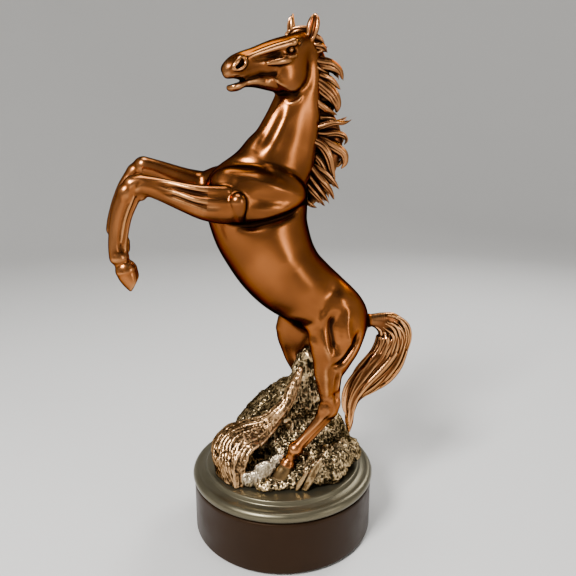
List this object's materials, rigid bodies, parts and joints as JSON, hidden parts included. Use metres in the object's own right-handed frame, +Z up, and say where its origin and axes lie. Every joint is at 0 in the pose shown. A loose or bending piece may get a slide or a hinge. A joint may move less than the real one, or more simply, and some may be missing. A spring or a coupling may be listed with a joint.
{
  "type": "rearing horse statuette",
  "caption": "Cast bronze rearing horse with blown mane and tail, on a rough ground casting with a driftwood root, bolted to a round black turned base.",
  "frame": {"origin": "centre of the felt's flat underside", "axes": "+Z up; the horse faces -X turned 15 degrees towards -Y, so its left side faces -Y"},
  "size_m": [0.192, 0.128, 0.3401],
  "materials": {
    "horse_bronze": "warm copper-brown bronze, hand-rubbed satin gloss with dark brown patina in the recesses",
    "ground_bronze": "dark antique bronze with rubbed golden high spots",
    "steel": "zinc-plated, plain",
    "black_lacquer": "turned wood in black satin lacquer",
    "felt": "dark green adhesive felt"
  },
  "bodies": {
    "root": {"torso": "horse_bronze", "neck": "horse_bronze", "head": "horse_bronze", "lower_jaw": "horse_bronze", "left_ear": "horse_bronze", "right_ear": "horse_bronze", "forelock": "horse_bronze", "mane_crest": "horse_bronze", "mane_middle": "horse_bronze", "mane_lower": "horse_bronze", "tail_dock": "horse_bronze", "tail_switch": "horse_bronze", "left_forearm": "horse_bronze", "left_fore_cannon": "horse_bronze", "left_fore_hoof": "horse_bronze", "right_forearm": "horse_bronze", "right_fore_cannon": "horse_bronze", "right_fore_hoof": "horse_bronze", "left_hind_leg": "horse_bronze", "left_hind_hoof": "horse_bronze", "right_hind_leg": "horse_bronze", "right_hind_hoof": "horse_bronze", "ground_casting": "ground_bronze", "driftwood_root": "ground_bronze", "flat_stone": "ground_bronze", "slate_shard_tall": "ground_bronze", "slate_shard_short": "ground_bronze", "grass_tussock": "ground_bronze", "ground_bolt_left": "steel", "ground_bolt_right": "steel", "bolt_washer_left": "steel", "bolt_washer_right": "steel", "left_hoof_stud": "steel", "right_hoof_stud": "steel", "base_drum": "black_lacquer", "base_moulding": "black_lacquer", "felt_pad": "felt"}
  },
  "joints": []
}
